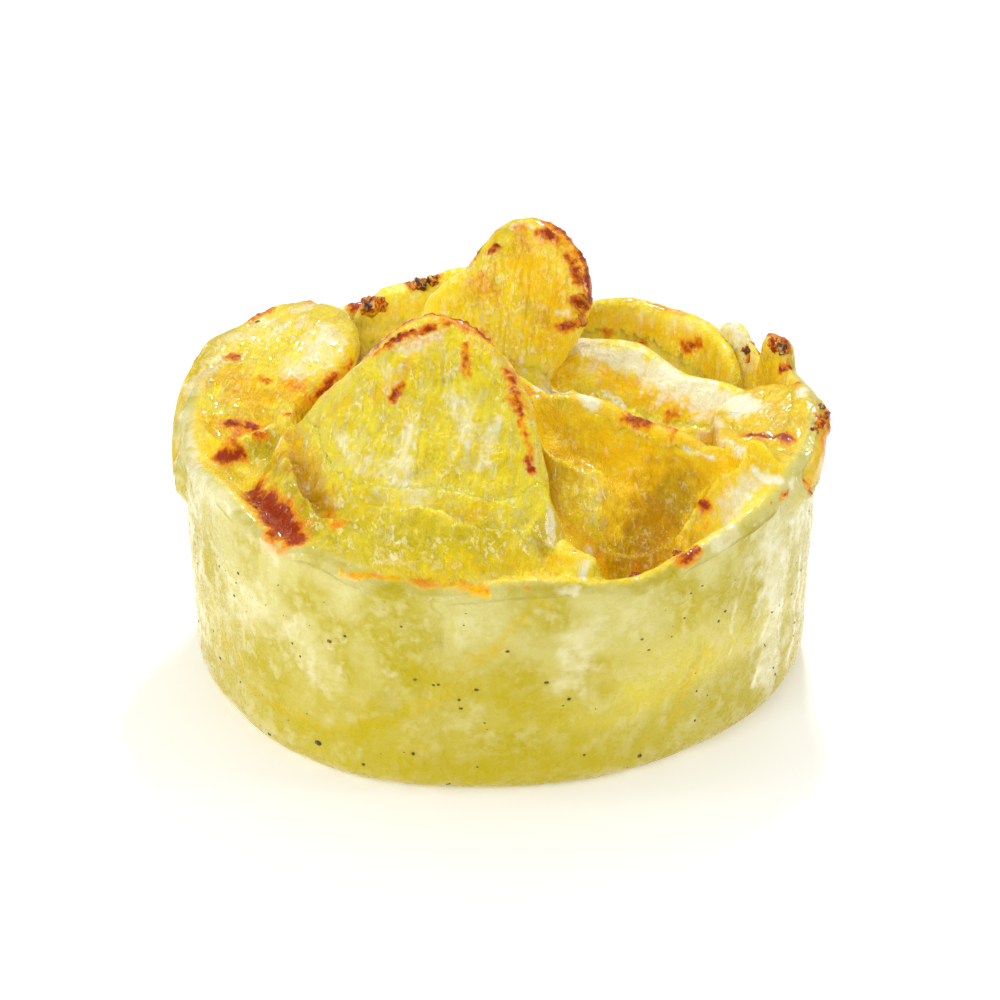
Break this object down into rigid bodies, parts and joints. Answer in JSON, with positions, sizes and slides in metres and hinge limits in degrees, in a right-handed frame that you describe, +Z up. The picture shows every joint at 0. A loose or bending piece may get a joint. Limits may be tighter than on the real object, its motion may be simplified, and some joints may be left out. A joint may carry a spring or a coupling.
{
  "type": "potato gratin",
  "caption": "Round single-portion potato gratin turned out of its mould: a low drum of set cream and potato with browned slices standing in its open top.",
  "frame": {"origin": "centre of the flat foot that the gratin stands on", "axes": "+Z up through the drum, -Y towards the side with the broad leaning slice, +X towards the side with the hollow"},
  "size_m": [0.0794, 0.077, 0.0497],
  "materials": {
    "custard": "set cream baked to a smooth pale yellow skin, moist and softly glossy, with fine dark pepper specks and browned blisters along the rim",
    "potato": "baked potato slice, deep yellow and moist with a fine grain, pale where the cream coats it, edges browned to orange and dark red"
  },
  "bodies": {
    "root": {"custard_drum": "custard", "front_slice": "potato", "tall_slice": "potato", "left_slice": "potato", "back_left_slice": "potato", "back_right_slice": "potato", "right_middle_slice": "potato", "right_front_slice": "potato", "right_rim_slice": "potato", "back_scrap": "potato", "side_scrap": "potato"}
  },
  "joints": []
}
